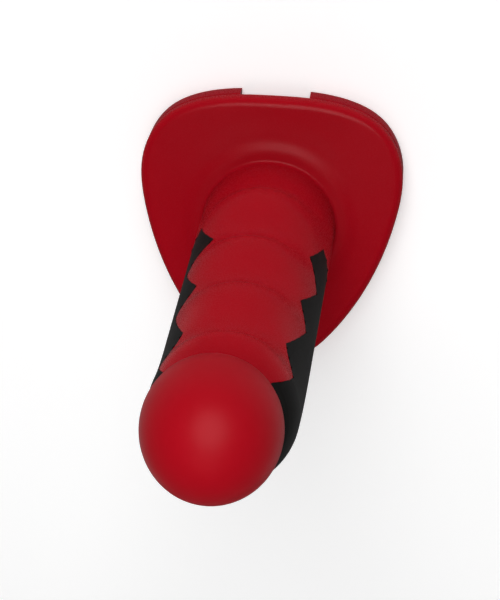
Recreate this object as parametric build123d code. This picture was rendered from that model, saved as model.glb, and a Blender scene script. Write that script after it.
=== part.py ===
from build123d import *
import math
import os

os.makedirs("parts", exist_ok=True)

# Two-pole flared-base silicone shaft with a harness-style base plate.
# Millimetres. +Z runs along the shaft, from the flat rear face (z = 0) to the tip. The ribbed
# side and the socket notch face -Y, and the pointed end of the base faces +Y.

# ---- base ----
BASE_HALF_OUTLINE = [(0, -39.6), (19.6, -38.1), (33, -31.8), (39.6, -19.5), (39, -4.2),
                     (33.3, 15.1), (22.5, 34.8), (9.1, 47.2), (0, 49.2)]
PAD_THICKNESS = 6.8
PAD_REAR_EDGE_R = 1.4
PAD_FRONT_EDGE_R = 0.5
PLATE_FACE_R = 52.0         # radius and level where the crown profile ends, outside the outline
PLATE_FACE_Z = 12.0
PLATE_FACE_BAND = (11.0, 14.0)  # the plate's top edge runs between these levels
PLATE_BLANK_HEIGHT = 20.0
PLATE_FRONT_EDGE_R = 2.4
PLATE_REAR_EDGE_R = 0.9

# ---- shaft, measured by station s along its centreline, which starts at the rear face ----
SHAFT_START_STATION = 16.0  # inside the base
ROOT_STATION = 24.0
ROOT_R = 20.3
END_STATION = 139.5         # centre of the rounded end
END_R = 18.45
BEND_STATION = 112.0        # straight up to here, then curved towards the ribbed side
BEND_R = 131.0
NECK_STATION = 151.0        # the rounded end stops here, at the last groove; a straight neck goes on
NECK_END_STATION = 165.0    # inside the head

# ---- ribs, as (station, level over the plain radius), on the ribbed side only ----
GROOVES = [(31.5, 0.0), (64.8, -0.9), (95.5, -0.8), (130.0, -0.7), (151.0, 0.0)]
CRESTS = [(47.0, 3.8), (78.2, 2.6), (107.8, 2.7), (142.5, 1.6)]
RIB_HALF_ANGLE = 72.0       # degrees round from the ribbed side, where a rib has faded out
RIB_STEPS = 4               # sections from a groove to a crest
SECTION_POINTS = 24

# ---- collar, the raised ring that the shaft grows out of, as (radius, level) ----
COLLAR_PROFILE = [(PLATE_FACE_R, PLATE_FACE_Z), (43, 12.3), (35, 12.62), (31, 12.88), (29, 13.05),
                  (27.4, 13.2), (26.4, 13.36), (25.4, 13.57), (24.4, 13.78), (23.4, 13.92),
                  (22.2, 14.05), (21.2, 14.3), (20.6, 15.0), (20.2, 17)]
COLLAR_START_DIRECTION = (-1, 0.03)
COLLAR_END_DIRECTION = (-0.1, 1)

# ---- head ----
HEAD_STATION = 167.5
HEAD_LIFT = 0.8             # the head's centre stands this far off the centreline, ribbed side
HEAD_HALF_SIZE = (16.3, 17.1, 18.0)
TIP_FLAT = 0.02             # depth of the tiny flat that closes the head's tip without a pole

# ---- electrode panels: the sawtooth edge as (distance towards the ribbed side, level) ----
PANEL_TEETH = [(9.6, 48.0), (13.6, 64.0), (8.0, 77.0), (13.0, 93.0),
               (9.0, 104.6), (14.0, 122.3), (11.7, 136.3), (14.8, 146.1)]
PANEL_TURN = 2.1            # at the base end the +X edge stands this far on, the -X edge back
PANEL_THICKNESS = 3.2
PANEL_END_STATION = 156.0
PANEL_END_REACH = 8.0
CUT_SIZE = 50.0             # tools that trim a panel reach this far, well outside the shaft
SPINE_HALF_WIDTH = 8.0      # body strip between the panels on the smooth underside
KEY_WIDTH = 6.0             # inner key that locks a panel into the body
KEY_DEPTH = 2.4
KEY_OVERLAP = 1.0           # the key starts this far inside the panel's skin
KEY_Z = (54.0, 126.0)

# ---- notch, sockets and carrier ----
NOTCH_HALF_WIDTH = 10.5
NOTCH_FLOOR_Y = -27.5
NOTCH_CUT_SIZE = 40.0       # depth and height of the tool, well outside the pad
CARRIER_HALF_WIDTH = 10.0
CARRIER_DEPTH = 13.0
CARRIER_Z = (0.7, 6.1)
CARRIER_EDGE = 0.5
SOCKET_X = 5.5
SOCKET_Z = 3.4
SOCKET_BORE_R = 2.0
SOCKET_OUTER_R = 2.5
SOCKET_BORE_DEPTH = 11.0
SOCKET_LENGTH = 12.5
TAIL_R = 1.1
TAIL_LENGTH = 4.0

# ---- core, leads and contacts ----
CORE_R = 7.0
CORE_FLANGE_R = 20.0
CORE_FLANGE_THICKNESS = 2.6
CORE_TOP_Z = 122.0
CORE_TIP_R = 6.5
LEAD_R = 0.7
LEAD_BEND_R = 4.0
LEAD_GROOVE = 1.6           # width of the core's groove for a lead
CONTACT_Z = 62.0
CONTACT_R = 1.5
CONTACT_X = (4.0, 17.8)
SLEEVE_WALL = 0.4
SLEEVE_LENGTH = 7.0
SLEEVE_GAP = 0.5            # from the socket's end to its sleeve

SIDES = {"right": 1, "left": -1}


def centreline(station):
    """Position and tangent angle of the shaft's centreline."""
    angle = max(0.0, station - BEND_STATION) / BEND_R
    y = -BEND_R * (1 - math.cos(angle))
    z = min(station, BEND_STATION) + BEND_R * math.sin(angle)
    return y, z, angle


def station_plane(station):
    """Plane square to the centreline, with its local x along +X."""
    y, z, angle = centreline(station)
    return Plane(origin=(0, y, z), x_dir=(1, 0, 0), z_dir=(0, -math.sin(angle), math.cos(angle)))


def shaft_radius(station, inset=0.0):
    """Plain radius: a slight taper, then the rounded end, then the neck."""
    along = (station - ROOT_STATION) / (END_STATION - ROOT_STATION)
    if along <= 1:
        return ROOT_R + (END_R - ROOT_R) * along - inset
    past_end = min(station, NECK_STATION) - END_STATION
    return math.sqrt((END_R - inset) ** 2 - past_end ** 2)


def section(station, rise=0.0, inset=0.0):
    """One closed section of the shaft, raised or sunk on its ribbed side."""
    radius = shaft_radius(station, inset)
    turn = 360 / SECTION_POINTS
    points = []
    for step in range(SECTION_POINTS):
        angle = math.radians(turn * step)
        from_crest = turn * min(step, SECTION_POINTS - step) / RIB_HALF_ANGLE
        fade = math.cos(math.pi / 2 * from_crest) ** 2 if from_crest < 1 else 0.0
        reach = radius + rise * fade
        points.append((reach * math.sin(angle), -reach * math.cos(angle)))
    return station_plane(station) * make_face(Spline(points, periodic=True))


def shaft_length(start, end, inset=0.0):
    """A length of shaft between two (station, rise) ends, rising along a half wave."""
    sections = []
    for step in range(RIB_STEPS + 1):
        along = step / RIB_STEPS
        wave = (1 - math.cos(math.pi * along)) / 2
        station = start[0] + (end[0] - start[0]) * along
        sections.append(section(station, start[1] + (end[1] - start[1]) * wave, inset))
    return loft(sections)


def make_shaft():
    """The ribbed shaft, from its plain root to the neck inside the head."""
    turns = [GROOVES[0]]
    for crest, groove in zip(CRESTS, GROOVES[1:]):
        turns += [crest, groove]
    stops = [(SHAFT_START_STATION, 0.0)] + turns + [(NECK_END_STATION, 0.0)]
    shaft = Part()
    for start, end in zip(stops, stops[1:]):
        shaft += shaft_length(start, end)
    return shaft


def make_head():
    """Slightly long ball, tilted with the centreline."""
    ball = scale(Sphere(1), by=HEAD_HALF_SIZE)
    top = Plane.XY.offset(HEAD_HALF_SIZE[2] - TIP_FLAT)
    return station_plane(HEAD_STATION) * Pos(0, -HEAD_LIFT, 0) * split(ball, top, keep=Keep.BOTTOM)


def base_outline():
    """Rounded triangle, flat on the notch side."""
    mirrored = [(-x, y) for x, y in BASE_HALF_OUTLINE[-2:0:-1]]
    return make_face(Spline(BASE_HALF_OUTLINE + mirrored, periodic=True))


def make_front_plate():
    """Front plate with its soft edge and the raised collar."""
    blank = Pos(0, 0, PAD_THICKNESS) * extrude(base_outline(), PLATE_BLANK_HEIGHT)
    top_r, top = COLLAR_PROFILE[-1]
    profile = Polyline((top_r, top), (0, top), (0, 0), (PLATE_FACE_R, 0), (PLATE_FACE_R, PLATE_FACE_Z))
    profile += Spline(COLLAR_PROFILE, tangents=[COLLAR_START_DIRECTION, COLLAR_END_DIRECTION])
    plate = blank & revolve(Plane.XZ * make_face(profile), Axis.Z)
    rim_edges = plate.edges().filter_by_position(Axis.Z, *PLATE_FACE_BAND)
    plate = fillet(rim_edges.sort_by(SortBy.LENGTH)[-1], PLATE_FRONT_EDGE_R)
    return fillet(plate.edges().group_by(Axis.Z)[0], PLATE_REAR_EDGE_R)


def sawtooth_line(side):
    """The panel's toothed edge in the YZ plane, turned less and less towards the head."""
    first, last = PANEL_TEETH[0][1], PANEL_TEETH[-1][1]
    return [(-reach - side * PANEL_TURN * (last - level) / (last - first), level)
            for reach, level in PANEL_TEETH]


def side_region(side):
    """Everything on one side, below the sawtooth line and behind the neck."""
    sawtooth = sawtooth_line(side)
    y, z, angle = centreline(PANEL_END_STATION)
    neck_ends = [(y + reach * math.cos(angle), z + reach * math.sin(angle))
                 for reach in (-PANEL_END_REACH, CUT_SIZE)]
    profile = Polyline(*sawtooth, *neck_ends, (CUT_SIZE, sawtooth[0][1]), close=True)
    region = extrude(Plane.YZ * make_face(profile), CUT_SIZE * side)
    align = (Align.CENTER, Align.MIN, Align.MIN)
    return region - Box(2 * SPINE_HALF_WIDTH, CUT_SIZE, 2 * PANEL_END_STATION, align=align)


def make_panel(side, shaft):
    """Electrode panel: the shaft's skin on one side, with an inner key."""
    inner = shaft_length(GROOVES[0], (END_STATION, 0.0), PANEL_THICKNESS)
    inner += shaft_length((END_STATION, 0.0), (NECK_STATION, 0.0), PANEL_THICKNESS)
    skin = (shaft & side_region(side)) - inner
    depth = PANEL_THICKNESS + KEY_DEPTH
    key_x = (ROOT_R - depth + KEY_OVERLAP) * side
    key = Pos(key_x + side * depth / 2, 0, sum(KEY_Z) / 2) * Box(depth, KEY_WIDTH, KEY_Z[1] - KEY_Z[0])
    return skin + (key & shaft)


def make_core_blank():
    """Outer shape of the stiff core: a rounded rod on a flange."""
    align = (Align.CENTER, Align.CENTER, Align.MIN)
    rod = Pos(0, 0, PAD_THICKNESS) * Cylinder(CORE_R, CORE_TOP_Z - PAD_THICKNESS, align=align)
    rod = fillet(rod.edges().sort_by(Axis.Z)[-1], CORE_TIP_R)
    return rod + Pos(0, 0, PAD_THICKNESS) * Cylinder(CORE_FLANGE_R, CORE_FLANGE_THICKNESS, align=align)


def make_core(blank):
    """The core with an open groove on each side, in which a lead runs up to its contact pin."""
    core = blank
    align = (Align.MIN, Align.CENTER, Align.MIN)
    for side in SIDES.values():
        groove = Pos(SOCKET_X - LEAD_GROOVE / 2, 0, 0) * Box(CORE_R, LEAD_GROOVE, CONTACT_Z, align=align)
        core -= groove if side > 0 else mirror(groove, Plane.YZ)
        core -= make_contact(side)
    return core


def make_socket(side):
    """Plug socket: a turned sleeve with a blind bore and a solder tail."""
    mouth = Plane(origin=(side * SOCKET_X, NOTCH_FLOOR_Y, SOCKET_Z), z_dir=(0, 1, 0))
    align = (Align.CENTER, Align.CENTER, Align.MIN)
    sleeve = mouth * Cylinder(SOCKET_OUTER_R, SOCKET_LENGTH, align=align)
    tail = mouth * Pos(0, 0, SOCKET_LENGTH) * Cylinder(TAIL_R, TAIL_LENGTH, align=align)
    return sleeve + tail - mouth * Cylinder(SOCKET_BORE_R, SOCKET_BORE_DEPTH, align=align)


def make_carrier():
    """Block that holds the two sockets at the notch's floor."""
    height = CARRIER_Z[1] - CARRIER_Z[0]
    middle = (0, NOTCH_FLOOR_Y + CARRIER_DEPTH / 2, sum(CARRIER_Z) / 2)
    block = Pos(*middle) * Box(2 * CARRIER_HALF_WIDTH, CARRIER_DEPTH, height)
    block = chamfer(block.edges().filter_by(Axis.Y), CARRIER_EDGE)
    align = (Align.CENTER, Align.CENTER, Align.MIN)
    carrier = block
    for side in SIDES.values():
        mouth = Plane(origin=(side * SOCKET_X, NOTCH_FLOOR_Y, SOCKET_Z), z_dir=(0, 1, 0))
        carrier -= mouth * Cylinder(SOCKET_OUTER_R, CARRIER_DEPTH, align=align)
    return block, carrier


def make_lead(side):
    """Lead: from the socket's tail to the core, then up beside it to the contact pin."""
    x = side * SOCKET_X
    start_y = NOTCH_FLOOR_Y + SOCKET_LENGTH + TAIL_LENGTH
    start = (x, start_y, SOCKET_Z)
    corner = (x, 0, SOCKET_Z)
    end = (x, 0, CONTACT_Z - CONTACT_R)
    path = FilletPolyline(start, corner, end, radius=LEAD_BEND_R)
    return sweep(Plane(origin=start, z_dir=(0, 1, 0)) * Circle(LEAD_R), path=path)


def make_contact(side):
    """Pin that joins a lead to the panel's key."""
    reach = CONTACT_X[1] - CONTACT_X[0]
    pin = Cylinder(CONTACT_R, reach, align=(Align.CENTER, Align.CENTER, Align.MIN))
    return Plane(origin=(side * CONTACT_X[0], 0, CONTACT_Z), z_dir=(side, 0, 0)) * pin


def make_sleeve(side, solder_joint):
    """Insulating sleeve over the joint between a socket's tail and its lead."""
    start_y = NOTCH_FLOOR_Y + SOCKET_LENGTH + SLEEVE_GAP
    plane = Plane(origin=(side * SOCKET_X, start_y, SOCKET_Z), z_dir=(0, 1, 0))
    tube = Cylinder(TAIL_R + SLEEVE_WALL, SLEEVE_LENGTH, align=(Align.CENTER, Align.CENTER, Align.MIN))
    sleeve = plane * tube
    for piece in solder_joint:
        sleeve -= piece
    return sleeve


def make_pad(buried):
    """Rear pad with the plug notch, moulded round the carrier and the leads."""
    pad = extrude(base_outline(), PAD_THICKNESS)
    pad = fillet(pad.edges().group_by(Axis.Z)[0], PAD_REAR_EDGE_R)
    pad = fillet(pad.edges().group_by(Axis.Z)[-1], PAD_FRONT_EDGE_R)
    align = (Align.CENTER, Align.MAX, Align.CENTER)
    notch = Box(2 * NOTCH_HALF_WIDTH, NOTCH_CUT_SIZE, NOTCH_CUT_SIZE, align=align)
    pad -= Pos(0, NOTCH_FLOOR_Y, 0) * notch
    for piece in buried:
        pad -= piece
    return pad


def make_body(shaft, head, buried):
    """Body: front plate, collar, ribbed shaft and head in one moulding."""
    body = make_front_plate() + shaft + head
    for piece in buried:
        body -= piece
    return body


def main():
    shaft = make_shaft()
    head = make_head()
    parts = {}
    for name, side in SIDES.items():
        parts[f"{name}_electrode"] = make_panel(side, shaft)
        parts[f"{name}_socket"] = make_socket(side)
        parts[f"{name}_lead"] = make_lead(side)
        parts[f"{name}_contact_pin"] = make_contact(side)
        joint = [parts[f"{name}_socket"], parts[f"{name}_lead"]]
        parts[f"{name}_solder_sleeve"] = make_sleeve(side, joint)
        parts[f"{name}_electrode"] -= parts[f"{name}_contact_pin"]
    block, parts["socket_carrier"] = make_carrier()
    core_blank = make_core_blank()
    parts["shaft_core"] = make_core(core_blank)
    electrodes = [parts[f"{name}_electrode"] for name in SIDES]
    leads = [parts[f"{name}_lead"] for name in SIDES]
    sleeves = [parts[f"{name}_solder_sleeve"] for name in SIDES]
    sockets = [parts[f"{name}_socket"] for name in SIDES]
    pins = [parts[f"{name}_contact_pin"] for name in SIDES]
    parts["rear_pad"] = make_pad([block] + leads + sleeves + sockets)
    parts["silicone_body"] = make_body(shaft, head, electrodes + [core_blank] + pins)
    for name, shape in parts.items():
        print(f"{name}: {len(shape.solids())} solid(s), {shape.volume:.0f} mm3")
        export_step(shape, f"parts/{name}.step")


if __name__ == "__main__":
    main()
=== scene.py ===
import math

import bmesh
import bpy
import numpy as np
from mathutils import Matrix, Vector


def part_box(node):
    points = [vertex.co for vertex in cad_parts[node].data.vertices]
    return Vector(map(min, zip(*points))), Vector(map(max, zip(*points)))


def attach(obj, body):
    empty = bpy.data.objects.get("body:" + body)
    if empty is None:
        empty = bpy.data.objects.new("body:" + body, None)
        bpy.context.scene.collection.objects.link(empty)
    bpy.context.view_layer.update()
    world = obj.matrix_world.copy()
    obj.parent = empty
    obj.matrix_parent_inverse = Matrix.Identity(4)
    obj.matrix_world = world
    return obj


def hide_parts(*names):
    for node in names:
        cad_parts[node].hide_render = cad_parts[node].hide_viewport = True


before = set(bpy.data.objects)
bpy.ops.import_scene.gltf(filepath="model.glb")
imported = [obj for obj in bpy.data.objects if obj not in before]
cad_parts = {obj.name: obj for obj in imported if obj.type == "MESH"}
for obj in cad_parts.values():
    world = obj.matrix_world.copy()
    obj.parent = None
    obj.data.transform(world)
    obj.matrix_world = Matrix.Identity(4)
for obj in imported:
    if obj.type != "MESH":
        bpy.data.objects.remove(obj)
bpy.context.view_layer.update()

# Ribbed silicone shaft on a flared base, with two black electrode panels.
# Shapes are worked out in millimetres, in the CAD frame: +Z along the shaft, the ribbed side and
# the plug notch towards -Y. Points on the shaft are (station along its centreline, angle round
# from the ribbed side), and a positive angle is on the +X side.
MM = 0.001


def low(node):
    """A node's lowest corner, in millimetres."""
    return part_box(node)[0] / MM


def high(node):
    """A node's highest corner, in millimetres."""
    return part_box(node)[1] / MM


# ---- base ----
BASE_HALF_OUTLINE = [(0, -39.6), (19.6, -38.1), (33, -31.8), (39.6, -19.5), (39, -4.2),
                     (33.3, 15.1), (22.5, 34.8), (9.1, 47.2), (0, 49.2)]
PAD_TOP = high("rear_pad").z
PAD_REAR_EDGE_R = 1.4
PAD_FRONT_EDGE_R = 0.6
PLATE_FRONT_EDGE_R = 2.4
PLATE_REAR_EDGE_R = 0.9
COLLAR_PROFILE = [(20.23, 28.0), (20.25, 20.0), (20.3, 16.0), (20.45, 14.9), (20.8, 14.25), (21.6, 14.04),
                  (23.4, 13.92), (24.4, 13.78), (25.4, 13.57), (26.4, 13.36), (27.4, 13.2), (29, 13.05),
                  (31, 12.88), (35, 12.62), (43, 12.3), (52, 12.0)]
COLLAR_FOOT_R = 32.5        # outside this the face's rows change from circles to the outline

# ---- notch ----
NOTCH_FLOOR_Y = low("socket_carrier").y
NOTCH_CLEARANCE = 0.5       # on each side of the socket carrier
NOTCH_HALF_WIDTH = high("socket_carrier").x + NOTCH_CLEARANCE
POCKET_CLEARANCE = 0.1      # round the part of the carrier inside the pad
POCKET_OPENING = 1.0        # the pocket's cutter reaches this far out into the notch
CUT_SIZE = 30.0             # the notch's cutter reaches this far past it

# ---- shaft ----
ROOT_STATION = 24.0
ROOT_R = 20.3
END_STATION = 139.5
END_R = 18.45
BEND_STATION = 112.0
BEND_R = 131.0
NECK_STATION = 151.0
NECK_TOP_STATION = 157.6    # last ring of the neck, just under the head
PLAIN_STATION = 16.0
GROOVES = [(31.5, 0.0), (64.8, -0.9), (95.5, -0.8), (130.0, -0.7), (151.0, 0.0)]
CRESTS = [(47.0, 3.8), (78.2, 2.6), (107.8, 2.7), (142.5, 1.6)]
RIB_HALF_ANGLE = math.radians(72)

# ---- head ----
HEAD_STATION = 167.5
HEAD_LIFT = 0.8
HEAD_HALF_SIZE = (16.3, 17.1, 17.98)
HEAD_FROM = math.radians(66)    # polar angle of the head's first ring, from its foot

# ---- electrode panels ----
PANEL_TEETH = [(9.6, 48.0), (13.6, 64.0), (8.0, 77.0), (13.0, 93.0),
               (9.0, 104.6), (14.0, 122.3), (11.7, 136.3), (14.8, 146.1)]
PANEL_TURN = 2.1            # at the base end the +X edge stands this far on, the -X edge back
PANEL_THICKNESS = 3.2
PANEL_END_STATION = 156.0
PANEL_END_REACH = 8.0
SPINE_HALF_WIDTH = 8.0
SEAM_GAP = 0.07             # clearance between a panel and the body, all round
SEAM_EDGE_R = 0.22          # softened edges on both sides of the seam

# ---- core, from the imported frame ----
CORE_R = 7.0
CORE_TIP_R = 6.5
CORE_FLANGE_THICKNESS = 2.6
CORE_FLANGE_R = high("shaft_core").x
CORE_FLANGE_TOP = PAD_TOP + CORE_FLANGE_THICKNESS
CORE_TOP = high("shaft_core").z

# ---- mesh density ----
FRONT_COLUMNS = 60
PANEL_COLUMNS = 38
SPINE_COLUMNS = 24
LEVEL_STEP = 1.0
OUTLINE_SAMPLES = 40        # per stretch between two outline points
OUTLINE_COLUMNS = 220       # round the rear pad
COLLAR_SAMPLES = 8          # per stretch between two profile points
ROOT_ROWS = 12              # from the collar up to the panels
UNDERSIDE_ROWS = 6
REAR_EDGE_ROWS = 5
FRONT_EDGE_ROWS = 9
FACE_ROWS = 9
PAD_REAR_EDGE_ROWS = 6
PAD_FRONT_EDGE_ROWS = 4
CORE_TIP_ROWS = 6
HEAD_ROWS = 44
EDGE_REFINEMENTS = 12       # rounds that settle where a tooth crosses the ribbed skin
FIRST_ANGLE = math.radians(65)  # where the panel columns start below the panels
SHARP_ANGLE = math.radians(40)  # corners harder than this stay crisp


# ======== curves ========

def smoothstep(x):
    x = min(max(x, 0.0), 1.0)
    return x * x * (3 - 2 * x)


def steps(start, end, count):
    """Evenly spaced values from start to end, both included."""
    return [start + (end - start) * i / count for i in range(count + 1)]


def cubic_spline(points, closed, samples):
    """Smooth curve through the points, with continuous curvature."""
    points = np.array(points, float)
    count = len(points)
    spans = np.linalg.norm(np.roll(points, -1, axis=0) - points, axis=1)
    rates = (np.roll(points, -1, axis=0) - points) / spans[:, None]
    matrix, target = np.zeros((count, count)), np.zeros(points.shape)
    for i in range(count):
        if not closed and i in (0, count - 1):
            inner, rate = (1, rates[0]) if i == 0 else (count - 2, rates[count - 2])
            matrix[i, i], matrix[i, inner] = 2, 1
            target[i] = 3 * rate
            continue
        before, after = (i - 1) % count, (i + 1) % count
        matrix[i, before] += spans[i]
        matrix[i, i] += 2 * (spans[before] + spans[i])
        matrix[i, after] += spans[before]
        target[i] = 3 * (spans[i] * rates[before] + spans[before] * rates[i])
    slopes = np.linalg.solve(matrix, target)
    curve = []
    for i in range(count if closed else count - 1):
        after = (i + 1) % count
        for t in np.linspace(0, 1, samples, endpoint=False):
            curve.append((2 * t ** 3 - 3 * t ** 2 + 1) * points[i]
                         + (t ** 3 - 2 * t ** 2 + t) * spans[i] * slopes[i]
                         + (3 * t ** 2 - 2 * t ** 3) * points[after]
                         + (t ** 3 - t ** 2) * spans[i] * slopes[after])
    return np.array(curve if closed else curve + [points[-1]])


mirrored = [(-x, y) for x, y in BASE_HALF_OUTLINE[-2:0:-1]]
outline = cubic_spline(BASE_HALF_OUTLINE + mirrored, True, OUTLINE_SAMPLES)
collar = cubic_spline(COLLAR_PROFILE, False, COLLAR_SAMPLES)
COLLAR_TOP_R, COLLAR_TOP = COLLAR_PROFILE[0]


# ======== shaft ========

def centreline(station):
    """Position and tangent angle of the shaft's centreline."""
    bend = max(0.0, station - BEND_STATION) / BEND_R
    return -BEND_R * (1 - math.cos(bend)), min(station, BEND_STATION) + BEND_R * math.sin(bend), bend


def shaft_radius(station):
    """Plain radius: a slight taper, then the rounded end, then the neck."""
    along = (station - ROOT_STATION) / (END_STATION - ROOT_STATION)
    if along <= 1:
        return ROOT_R + (END_R - ROOT_R) * along
    return math.sqrt(END_R ** 2 - (min(station, NECK_STATION) - END_STATION) ** 2)


def rib_stops():
    """Turning points of the ribs, from the root to the neck."""
    stops = [(PLAIN_STATION, 0.0), GROOVES[0]]
    for crest, groove in zip(CRESTS, GROOVES[1:]):
        stops += [crest, groove]
    return stops


STOPS = rib_stops()


def rise(station):
    """How far the ribs lift the skin on the ribbed side."""
    for (s0, rise0), (s1, rise1) in zip(STOPS, STOPS[1:]):
        if station <= s1:
            return rise0 + (rise1 - rise0) * (1 - math.cos(math.pi * (station - s0) / (s1 - s0))) / 2
    return 0.0


def skin_radius(station, angle):
    fade = math.cos(math.pi / 2 * angle / RIB_HALF_ANGLE) ** 2 if abs(angle) < RIB_HALF_ANGLE else 0.0
    return shaft_radius(station) + rise(station) * fade


def on_shaft(station, angle, depth=0.0):
    """Point on the shaft's skin, or below it."""
    y, z, bend = centreline(station)
    radius = skin_radius(station, angle) - depth
    across = -radius * math.cos(angle)
    return radius * math.sin(angle), y + across * math.cos(bend), z + across * math.sin(bend)


# ======== panel edges ========

FIRST_LEVEL, LAST_TOOTH = PANEL_TEETH[0][1], PANEL_TEETH[-1][1]
end_y, end_z, end_bend = centreline(PANEL_END_STATION)
LAST_LEVEL = end_z - PANEL_END_REACH * math.sin(end_bend)
EDGE = PANEL_TEETH + [(PANEL_END_REACH * math.cos(end_bend) - end_y, LAST_LEVEL)]
EDGE_LEVELS = [level for reach, level in EDGE]
EDGE_REACHES = [reach for reach, level in EDGE]


def panel_edge(level, side):
    """Where the toothed edge of one side's panel crosses a level, as (station, angle)."""
    turn = side * PANEL_TURN * max(0.0, LAST_TOOTH - level) / (LAST_TOOTH - FIRST_LEVEL)
    y, z = -float(np.interp(level, EDGE_LEVELS, EDGE_REACHES)) - turn, level
    station, across = z, y
    if z > BEND_STATION:
        station = BEND_STATION + BEND_R * math.atan2(z - BEND_STATION, y + BEND_R)
        across = math.hypot(z - BEND_STATION, y + BEND_R) - BEND_R
    angle = math.acos(-across / shaft_radius(station))
    for _ in range(EDGE_REFINEMENTS):
        angle = math.acos(-across / skin_radius(station, angle))
    return station, angle


def spine_angle(station):
    """Angle where a panel ends beside the strip on the smooth underside."""
    return math.pi - math.asin(SPINE_HALF_WIDTH / shaft_radius(station))


def ring_corners(level):
    """The four column corners of a ring, as (station, angle), from the left panel's edge round."""
    if level >= FIRST_LEVEL:
        edges = [panel_edge(level, side) for side in (-1, 1)]
    else:
        share = smoothstep((level - COLLAR_TOP) / (FIRST_LEVEL - COLLAR_TOP))
        edges = []
        for side in (-1, 1):
            station, angle = panel_edge(FIRST_LEVEL, side)
            edges.append((level + (station - FIRST_LEVEL) * share,
                          FIRST_ANGLE + (angle - FIRST_ANGLE) * share))
    (left_s, left_a), (right_s, right_a) = edges
    return [(left_s, -left_a), (right_s, right_a), (right_s, spine_angle(right_s)),
            (left_s, 2 * math.pi - spine_angle(left_s)), (left_s, 2 * math.pi - left_a)]


def ring_columns(corners):
    """All of a ring's columns, as (station, angle in -pi..pi)."""
    columns = []
    counts = (FRONT_COLUMNS, PANEL_COLUMNS, SPINE_COLUMNS, PANEL_COLUMNS)
    for (s0, a0), (s1, a1), count in zip(corners, corners[1:], counts):
        for i in range(count):
            angle = a0 + (a1 - a0) * i / count
            columns.append((s0 + (s1 - s0) * i / count, (angle + math.pi) % (2 * math.pi) - math.pi))
    return columns


def panel_levels():
    """Levels of the rings through the panels, with one at each tooth."""
    levels = []
    for low_level, high_level in zip(EDGE_LEVELS, EDGE_LEVELS[1:]):
        count = max(2, round((high_level - low_level) / LEVEL_STEP))
        levels += steps(low_level, high_level, count)[:-1]
    return levels + [EDGE_LEVELS[-1]]


# ======== mesh helpers ========

def loop_faces(first, second):
    """Quads between two closed rings of vertex numbers."""
    return [(first[i], first[(i + 1) % len(first)], second[(i + 1) % len(first)], second[i])
            for i in range(len(first))]


def strip_faces(first, second):
    """Quads between two open rows of vertex numbers."""
    return [(first[i], first[i + 1], second[i + 1], second[i]) for i in range(len(first) - 1)]


def shade_smooth(mesh):
    """Turns the normals outwards, and shades all but hard corners smooth."""
    bm = bmesh.new()
    bm.from_mesh(mesh)
    bmesh.ops.recalc_face_normals(bm, faces=bm.faces)
    for face in bm.faces:
        face.smooth = True
    for edge in bm.edges:
        edge.smooth = edge.calc_face_angle(0.0) < SHARP_ANGLE
    bm.to_mesh(mesh)
    bm.free()


def soften(mesh, edges, radius):
    """Bevels the edges given as pairs of vertex numbers."""
    bm = bmesh.new()
    bm.from_mesh(mesh)
    keys = {tuple(sorted(edge)) for edge in edges}
    chosen = [e for e in bm.edges if tuple(sorted(v.index for v in e.verts)) in keys]
    bmesh.ops.bevel(bm, geom=chosen, offset=radius * MM, segments=2, profile=0.5, affect="EDGES",
                    clamp_overlap=True)
    bm.to_mesh(mesh)
    bm.free()


def new_piece(name, mesh):
    shade_smooth(mesh)
    piece = bpy.data.objects.new(name, mesh)
    bpy.context.collection.objects.link(piece)
    return piece


def rim(grid):
    """The numbers round the edge of a grid, in order."""
    return (grid[0] + [row[-1] for row in grid[1:-1]] + grid[-1][::-1]
            + [row[0] for row in grid[-2:0:-1]])


def loop_edges(loop):
    return list(zip(loop, loop[1:] + loop[:1]))


def new_mesh(name, points, faces):
    mesh = bpy.data.meshes.new(name)
    mesh.from_pydata([Vector(point) * MM for point in points], [], faces)
    return mesh


# ======== base rings ========

def outline_at(angle):
    """Outline point in the direction of an angle, and the outward normal there."""
    directions = np.arctan2(outline[:, 0], -outline[:, 1])
    order = np.argsort(directions)
    tangents = np.roll(outline, -1, axis=0) - np.roll(outline, 1, axis=0)
    tangents /= np.linalg.norm(tangents, axis=1)[:, None]
    values = np.hstack([outline, tangents])[order]
    x, y, tx, ty = (float(np.interp(angle, directions[order], values[:, i], period=2 * math.pi))
                    for i in range(4))
    return Vector((x, y)), Vector((ty, -tx)).normalized()


def collar_level(radius):
    return float(np.interp(radius, collar[:, 0], collar[:, 1]))


def base_rings(angles):
    """Rings of the front plate, from the underside's opening round its edge to the collar's foot."""
    edge = [outline_at(angle) for angle in angles]
    inner = [Vector((math.sin(angle), -math.cos(angle))) for angle in angles]
    rear = [(point - normal * PLATE_REAR_EDGE_R) for point, normal in edge]
    front = [(point - normal * PLATE_FRONT_EDGE_R) for point, normal in edge]
    rings = []
    for share in steps(0, 1, UNDERSIDE_ROWS)[:-1]:
        rings.append([(*(u * CORE_FLANGE_R).lerp(point, share), PAD_TOP) for u, point in zip(inner, rear)])
    for turn in steps(0, math.pi / 2, REAR_EDGE_ROWS):
        inset, up = PLATE_REAR_EDGE_R * (1 - math.sin(turn)), PLATE_REAR_EDGE_R * (1 - math.cos(turn))
        rings.append([(*(point - normal * inset), PAD_TOP + up) for point, normal in edge])
    for turn in steps(0, math.pi / 2, FRONT_EDGE_ROWS):
        inset = PLATE_FRONT_EDGE_R * (1 - math.cos(turn))
        down = PLATE_FRONT_EDGE_R * (1 - math.sin(turn))
        rings.append([(*(point - normal * inset), collar_level(top.length) - down)
                      for (point, normal), top in zip(edge, front)])
    for share in steps(0, 1, FACE_ROWS)[1:]:
        flat = [top.lerp(u * COLLAR_FOOT_R, share) for top, u in zip(front, inner)]
        rings.append([(*point, collar_level(point.length)) for point in flat])
    return rings


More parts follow.
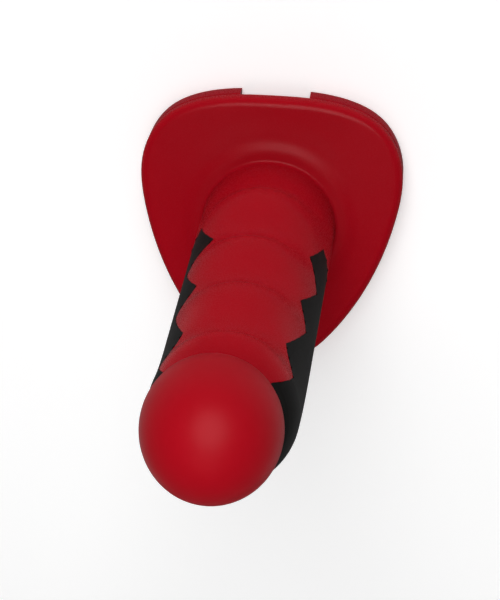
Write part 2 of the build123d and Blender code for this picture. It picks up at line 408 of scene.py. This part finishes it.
def core_rings(angles):
    """Rings of the hollow that the core fills, from just below its top to the underside."""
    profile = [(CORE_R - CORE_TIP_R * (1 - math.sin(turn)), CORE_TOP - CORE_TIP_R * (1 - math.cos(turn)))
               for turn in steps(0, math.pi / 2, CORE_TIP_ROWS)]
    profile += [(CORE_R, CORE_FLANGE_TOP), (CORE_FLANGE_R, CORE_FLANGE_TOP)]
    return [[(r * math.sin(a), -r * math.cos(a), z) for a in angles] for r, z in profile]


def head_rings(angles):
    """Rings of the head, from its foot to just below the tip, and the tip."""
    y, z, bend = centreline(HEAD_STATION)
    axis = Vector((0, -math.sin(bend), math.cos(bend)))
    side = Vector((0, math.cos(bend), math.sin(bend)))
    centre = Vector((0, y, z)) - side * HEAD_LIFT
    half_x, half_y, half_z = HEAD_HALF_SIZE
    rings = []
    for polar in steps(HEAD_FROM, math.pi, HEAD_ROWS)[:-1]:
        rings.append([centre + Vector((1, 0, 0)) * half_x * math.sin(polar) * math.sin(angle)
                      - side * half_y * math.sin(polar) * math.cos(angle)
                      - axis * half_z * math.cos(polar) for angle in angles])
    return rings, centre + axis * half_z


# ======== pieces ========

LEVELS = panel_levels()
ROOT_LEVELS = steps(COLLAR_TOP, FIRST_LEVEL, ROOT_ROWS)[:-1]
PANEL_SPANS = {"right": (FRONT_COLUMNS, FRONT_COLUMNS + PANEL_COLUMNS),
               "left": (FRONT_COLUMNS + PANEL_COLUMNS + SPINE_COLUMNS,
                        FRONT_COLUMNS + 2 * PANEL_COLUMNS + SPINE_COLUMNS)}


def make_body():
    """Front plate, collar, ribbed shaft and head, with a recess for each panel and the core."""
    base_angles = [angle for station, angle in ring_columns(ring_corners(COLLAR_TOP))]
    core = core_rings(base_angles)
    rings = core + base_rings(base_angles)
    for radius, level in collar[::-1]:
        if COLLAR_TOP_R < radius < COLLAR_FOOT_R:
            rings.append([(radius * math.sin(a), -radius * math.cos(a), level) for a in base_angles])
    for level in ROOT_LEVELS:
        rings.append([on_shaft(s, a) for s, a in ring_columns(ring_corners(level))])
    panel_start = len(rings)
    panel_rows = [ring_columns(ring_corners(level)) for level in LEVELS]
    rings += [[on_shaft(s, a) for s, a in row] for row in panel_rows]
    panel_end = len(rings) - 1
    neck_angles = [a for s, a in panel_rows[-1]]
    rings.append([on_shaft(NECK_TOP_STATION, a) for a in neck_angles])
    heads, tip = head_rings(neck_angles)
    rings += heads

    width = len(base_angles)
    points = [point for ring in rings for point in ring]
    numbers = [list(range(row * width, (row + 1) * width)) for row in range(len(rings))]
    faces = []
    for row in range(len(rings) - 1):
        for column, face in enumerate(loop_faces(numbers[row], numbers[row + 1])):
            beside_panel = any(start <= column < end for start, end in PANEL_SPANS.values())
            if not (panel_start <= row < panel_end and beside_panel):
                faces.append(face)
    for pole, ring in (((0, 0, CORE_TOP), numbers[0]), (tip, numbers[-1])):
        points.append(pole)
        faces += [(ring[i], ring[(i + 1) % width], len(points) - 1) for i in range(width)]

    rims = []
    for start, end in PANEL_SPANS.values():
        columns = [column % width for column in range(start, end + 1)]
        floor = []
        for row in panel_rows:
            floor.append(list(range(len(points), len(points) + len(columns))))
            points += [on_shaft(*row[column], PANEL_THICKNESS) for column in columns]
        for lower, upper in zip(floor, floor[1:]):
            faces += strip_faces(lower, upper)
        skin = [[numbers[row][column] for column in columns] for row in range(panel_start, panel_end + 1)]
        faces += loop_faces(rim(skin), rim(floor))
        rims += loop_edges(rim(skin))
    mesh = new_mesh("body_skin", points, faces)
    soften(mesh, rims, SEAM_EDGE_R)
    return new_piece("body_skin", mesh)


def make_panel(side_name):
    """One electrode panel: a curved shell with a toothed edge, a hair smaller than its recess."""
    start, end = PANEL_SPANS[side_name]
    side = 1 if side_name == "right" else -1
    levels = [min(max(level, FIRST_LEVEL + SEAM_GAP), LAST_LEVEL - SEAM_GAP) for level in LEVELS]
    outer, inner = [], []
    for level in levels:
        station, toothed = panel_edge(level, side)
        gap = SEAM_GAP / shaft_radius(station)
        angles = steps(toothed + gap, spine_angle(station) - gap, end - start)
        outer.append([on_shaft(station, side * angle) for angle in angles])
        inner.append([on_shaft(station, side * angle, PANEL_THICKNESS - SEAM_GAP) for angle in angles])
    width = end - start + 1
    points = [point for grid in (outer, inner) for row in grid for point in row]
    count = len(levels) * width
    top = [list(range(row * width, (row + 1) * width)) for row in range(len(levels))]
    bottom = [[number + count for number in row] for row in top]
    faces = [face for grid in (top, bottom) for a, b in zip(grid, grid[1:]) for face in strip_faces(a, b)]
    faces += loop_faces(rim(top), rim(bottom))
    name = f"{side_name}_panel"
    mesh = new_mesh(name, points, faces)
    soften(mesh, loop_edges(rim(top)), SEAM_EDGE_R)
    return new_piece(name, mesh)


def box_mesh(name, lowest, highest):
    corners = [(x, y, z) for x in (lowest[0], highest[0]) for y in (lowest[1], highest[1])
               for z in (lowest[2], highest[2])]
    faces = [(0, 1, 3, 2), (4, 6, 7, 5), (0, 4, 5, 1), (2, 3, 7, 6), (0, 2, 6, 4), (1, 5, 7, 3)]
    return new_mesh(name, corners, faces)


def cut(piece, cutter_mesh):
    """Takes a shape out of a piece's mesh."""
    cutter = bpy.data.objects.new("cutter", cutter_mesh)
    bpy.context.collection.objects.link(cutter)
    modifier = piece.modifiers.new("cut", "BOOLEAN")
    modifier.operation, modifier.solver, modifier.object = "DIFFERENCE", "EXACT", cutter
    bpy.context.view_layer.update()
    result = bpy.data.meshes.new_from_object(piece.evaluated_get(bpy.context.evaluated_depsgraph_get()))
    piece.modifiers.clear()
    piece.data = result
    bpy.data.objects.remove(cutter)


def make_pad():
    """Rear pad with softened edges, the plug notch, and a pocket for the socket carrier."""
    angles = steps(-math.pi, math.pi, OUTLINE_COLUMNS)[:-1]
    edge = [outline_at(angle) for angle in angles]
    rings = []
    for turn in steps(0, math.pi / 2, PAD_REAR_EDGE_ROWS):
        inset, up = PAD_REAR_EDGE_R * (1 - math.sin(turn)), PAD_REAR_EDGE_R * (1 - math.cos(turn))
        rings.append([(*(point - normal * inset), up) for point, normal in edge])
    for turn in steps(0, math.pi / 2, PAD_FRONT_EDGE_ROWS):
        inset, down = PAD_FRONT_EDGE_R * (1 - math.cos(turn)), PAD_FRONT_EDGE_R * (1 - math.sin(turn))
        rings.append([(*(point - normal * inset), PAD_TOP - down) for point, normal in edge])
    width = len(angles)
    numbers = [list(range(row * width, (row + 1) * width)) for row in range(len(rings))]
    faces = [face for a, b in zip(numbers, numbers[1:]) for face in loop_faces(a, b)]
    faces += [tuple(numbers[0]), tuple(numbers[-1])]
    pad = new_piece("pad_skin", new_mesh("pad_skin", [p for ring in rings for p in ring], faces))

    far = (NOTCH_HALF_WIDTH, NOTCH_FLOOR_Y, CUT_SIZE)
    cut(pad, box_mesh("notch", (-NOTCH_HALF_WIDTH, NOTCH_FLOOR_Y - CUT_SIZE, -CUT_SIZE), far))
    clear = Vector((POCKET_CLEARANCE,) * 3)
    lowest, highest = low("socket_carrier") - clear, high("socket_carrier") + clear
    lowest.y -= POCKET_OPENING
    cut(pad, box_mesh("pocket", lowest, highest))
    shade_smooth(pad.data)
    return pad


body = make_body()
left_panel = make_panel("left")
right_panel = make_panel("right")
pad = make_pad()


# ======== materials ========

NOISE_LOW, NOISE_HIGH = 0.3, 0.7
NECK_LOW, NECK_HIGH = 145.0, 162.0  # the finish changes between these levels
GRAIN_ROUGHNESS = 0.04
CLOUD_SHARE, MOTTLE_SHARE = 0.7, 0.3


class Nodes:
    """Short hand for building a node material."""

    def __init__(self, name):
        self.material = bpy.data.materials.new(name)
        self.material.use_nodes = True
        self.tree = self.material.node_tree
        self.shader = self.tree.nodes["Principled BSDF"]
        self.place = self.add("ShaderNodeTexCoord").outputs["Object"]

    def plug(self, socket, value):
        if isinstance(value, bpy.types.NodeSocket):
            self.tree.links.new(value, socket)
        else:
            socket.default_value = value

    def add(self, kind, **inputs):
        node = self.tree.nodes.new(kind)
        for name, value in inputs.items():
            self.plug(node.inputs[name.replace("_", " ")], value)
        return node

    def math(self, operation, *values):
        node = self.add("ShaderNodeMath")
        node.operation = operation
        for socket, value in zip(node.inputs, values):
            self.plug(socket, value)
        return node.outputs[0]

    def noise(self, size, detail=3.0, roughness=0.5):
        """Noise with features of about this size in millimetres."""
        return self.add("ShaderNodeTexNoise", Vector=self.place, Scale=1 / (size * MM), Detail=detail,
                        Roughness=roughness).outputs["Fac"]

    def between(self, factor, low_value, high_value):
        """Maps noise, which stays near 0.5, to a range of values."""
        return self.add("ShaderNodeMapRange", Value=factor, From_Min=NOISE_LOW, From_Max=NOISE_HIGH,
                        To_Min=low_value, To_Max=high_value).outputs["Result"]

    def along_shaft(self, grain, shaft_value, head_value):
        """A value that changes below the head, with a little grain in it."""
        height = self.add("ShaderNodeSeparateXYZ", Vector=self.place).outputs["Z"]
        ramp = self.add("ShaderNodeMapRange", Value=height, From_Min=NECK_LOW * MM, From_Max=NECK_HIGH * MM,
                        To_Min=shaft_value, To_Max=head_value)
        ramp.interpolation_type = "SMOOTHSTEP"
        grain = self.between(grain, -GRAIN_ROUGHNESS, GRAIN_ROUGHNESS)
        return self.math("ADD", ramp.outputs["Result"], grain)

    def colours(self, factor, first, second):
        node = self.add("ShaderNodeMix")
        node.data_type = "RGBA"
        self.tree.links.new(factor, node.inputs["Factor"])
        inputs = [socket for socket in node.inputs if socket.type == "RGBA"]
        for socket, colour in zip(inputs, (first, second)):
            socket.default_value = (*colour, 1)
        return next(socket for socket in node.outputs if socket.type == "RGBA")

    def bump(self, height, distance, strength=1.0, under=None):
        node = self.add("ShaderNodeBump", Height=height, Distance=distance * MM, Strength=strength)
        if under:
            self.tree.links.new(under, node.inputs["Normal"])
        return node.outputs["Normal"]

    def shade(self, **inputs):
        for name, value in inputs.items():
            self.plug(self.shader.inputs[name.replace("_", " ")], value)
        return self.material


def silicone(name, first, second, rough, gloss, sheen, glow, glow_radius):
    """Moulded silicone: satin skin that turns more matte on the head, fine grain, cloudy colour."""
    nodes = Nodes(name)
    cloud = nodes.noise(9.0, 2.0)
    mottle = nodes.between(nodes.noise(1.6, 4.0), 0.0, 1.0)
    mixed = nodes.math("MULTIPLY_ADD", cloud, CLOUD_SHARE, nodes.math("MULTIPLY", mottle, MOTTLE_SHARE))
    grain = nodes.noise(0.28, 2.0, 0.6)
    ripple = nodes.noise(3.5, 1.0)
    normal = nodes.bump(grain, 0.01, 0.15, under=nodes.bump(ripple, 0.05, 0.25))
    return nodes.shade(Base_Color=nodes.colours(mixed, first, second),
                       Roughness=nodes.along_shaft(grain, *rough), Normal=normal,
                       Sheen_Weight=sheen, Sheen_Roughness=0.4,
                       Subsurface_Weight=glow, Subsurface_Radius=glow_radius, Subsurface_Scale=0.002,
                       Specular_IOR_Level=gloss)


def metal(name, first, second, rough):
    """Turned and plated metal, with fine drawn marks."""
    nodes = Nodes(name)
    marks = nodes.noise(0.25, 3.0)
    return nodes.shade(Base_Color=nodes.colours(nodes.noise(2.0), first, second), Metallic=1.0,
                       Roughness=nodes.between(marks, rough[0], rough[1]),
                       Normal=nodes.bump(marks, 0.01, 0.3))


def plastic(name, first, second, rough):
    """Moulded plastic with a fine spark texture."""
    nodes = Nodes(name)
    spark = nodes.noise(0.2, 3.0)
    return nodes.shade(Base_Color=nodes.colours(nodes.noise(1.5), first, second),
                       Roughness=nodes.between(spark, rough[0], rough[1]),
                       Normal=nodes.bump(spark, 0.015, 0.4))


RED_GLOW = (1.0, 0.15, 0.1)
red = silicone("red_silicone", (0.355, 0.0025, 0.0085), (0.385, 0.0032, 0.0105), (0.27, 0.4), 0.06, 0.004,
               0.12, RED_GLOW)
# The rear pad's red is a darker copy of the body's red: painted shade for its side wall, which faces away
# from the light.
red_pad_painted_shade = silicone("red_silicone_rear_painted_shade", (0.3, 0.003, 0.0095), (0.33, 0.0038, 0.0115), (0.28, 0.34), 0.08,
                   0.01, 0.12, RED_GLOW)
black = silicone("black_conductive_silicone", (0.006, 0.0054, 0.0052), (0.0095, 0.0086, 0.0084),
                 (0.55, 0.68), 0.06, 0.01, 0.0, (0.2, 0.2, 0.2))
plated = metal("plated_contact", (0.62, 0.47, 0.22), (0.7, 0.55, 0.28), (0.2, 0.36))
pin_metal = metal("pin_brass", (0.55, 0.4, 0.16), (0.64, 0.48, 0.2), (0.26, 0.42))
carrier = plastic("carrier_plastic", (0.02, 0.02, 0.021), (0.03, 0.03, 0.031), (0.4, 0.55))
core_plastic = plastic("core_plastic", (0.16, 0.16, 0.155), (0.21, 0.21, 0.2), (0.45, 0.6))
lead_cover = plastic("lead_cover", (0.42, 0.03, 0.02), (0.5, 0.04, 0.03), (0.42, 0.55))
sleeve_plastic = plastic("sleeve_plastic", (0.03, 0.03, 0.03), (0.05, 0.05, 0.048), (0.5, 0.62))

for piece, material, node, slot in ((body, red, "silicone_body", "red_silicone"),
                                    (pad, red_pad_painted_shade, "rear_pad", "red_silicone_pad"),
                                    (left_panel, black, "left_electrode", "black_silicone"),
                                    (right_panel, black, "right_electrode", "black_silicone")):
    piece.data.materials.clear()
    piece.data.materials.append(material)
    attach(piece, "root")
    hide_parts(node)

KEPT_NODES = {"shaft_core": core_plastic, "socket_carrier": carrier}
for side_name in PANEL_SPANS:
    KEPT_NODES[f"{side_name}_socket"] = plated
    KEPT_NODES[f"{side_name}_contact_pin"] = pin_metal
    KEPT_NODES[f"{side_name}_lead"] = lead_cover
    KEPT_NODES[f"{side_name}_solder_sleeve"] = sleeve_plastic
for node, material in KEPT_NODES.items():
    for material_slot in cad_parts[node].material_slots:
        material_slot.material = material


# ======== stage, lights and camera ========

FLOOR_HALF = 2.0            # metres, like the lights' places and sizes
SHAFT_MIDDLE = Vector((0, 0, 100)) * MM
HEAD_MIDDLE = Vector((0, -12, 165)) * MM
# name, place, target, width and height, power in watts, the rays that see it
LIGHTS = [("overhead", (0.05, -1.1, 0.75), SHAFT_MIDDLE, (0.9, 0.9), 5.4, "diffuse"),
          ("front", (0.08, -0.62, 1.25), SHAFT_MIDDLE, (0.9, 0.9), 7.2, "diffuse"),
          ("near_fill", (0.0, 0.08, 0.5), HEAD_MIDDLE, (0.3, 0.3), 0.68, "diffuse"),
          ("softbox", (-0.045, -0.25, 0.6), HEAD_MIDDLE, (0.52, 0.52), 4.1, "glossy")]
for card_name, card_x in (("card_left", -0.19), ("card_right", 0.19)):
    LIGHTS.append((card_name, (card_x, 0.03, 0.004), Vector((card_x, 0.03, 1.004)), (0.22, 0.5), 0.09,
                   "glossy"))
SURROUNDINGS = 0.11         # strength of the even white world
CAMERA_LENS = 102.2
CAMERA_PLACE = Vector((-35.6, -198.4, 496.9)) * MM
CAMERA_TARGET = Vector((-2.2, -14.3, 100.0)) * MM
CAMERA_UP = Vector((0.0274, -1, 0))


def make_floor():
    mesh = bpy.data.meshes.new("floor")
    corners = [(-1, -1), (1, -1), (1, 1), (-1, 1)]
    mesh.from_pydata([(x * FLOOR_HALF, y * FLOOR_HALF, 0) for x, y in corners], [], [(0, 1, 2, 3)])
    floor = bpy.data.objects.new("floor", mesh)
    floor.visible_glossy = False
    bpy.context.collection.objects.link(floor)
    nodes = Nodes("pale_floor")
    tint = nodes.noise(120.0, 2.0)
    mesh.materials.append(nodes.shade(Base_Color=nodes.colours(tint, (0.9, 0.9, 0.9), (0.93, 0.93, 0.93)),
                                      Roughness=0.8, Emission_Color=(1, 1, 1, 1), Emission_Strength=0.3))


def aim(obj, target, up):
    """Points an object's -Z axis at a target, with its Y axis towards up."""
    back = (obj.location - target).normalized()
    right = up.cross(back).normalized()
    obj.matrix_world = Matrix.Translation(obj.location) @ Matrix(
        (right, back.cross(right), back)).transposed().to_4x4()


def add_light(name, place, target, size, power, seen_by):
    """Soft light that either lights the surfaces or shows in their gloss."""
    light = bpy.data.lights.new(name, "AREA")
    light.shape, light.energy = "ELLIPSE", power
    light.size, light.size_y = size
    obj = bpy.data.objects.new(name, light)
    bpy.context.collection.objects.link(obj)
    obj.location = place
    obj.visible_camera = False
    obj.visible_diffuse, obj.visible_glossy = seen_by == "diffuse", seen_by == "glossy"
    aim(obj, target, Vector((0, 1, 0)))


make_floor()
for light in LIGHTS:
    add_light(*light)

world = bpy.data.worlds.new("studio")
world.use_nodes = True
world.node_tree.nodes["Background"].inputs["Color"].default_value = (1, 1, 1, 1)
world.node_tree.nodes["Background"].inputs["Strength"].default_value = SURROUNDINGS
bpy.context.scene.world = world
bpy.context.scene.view_settings.view_transform = "Standard"

camera_data = bpy.data.cameras.new("camera")
camera_data.lens = CAMERA_LENS
camera = bpy.data.objects.new("camera", camera_data)
bpy.context.collection.objects.link(camera)
camera.location = CAMERA_PLACE
aim(camera, CAMERA_TARGET, CAMERA_UP)
bpy.context.scene.camera = camera
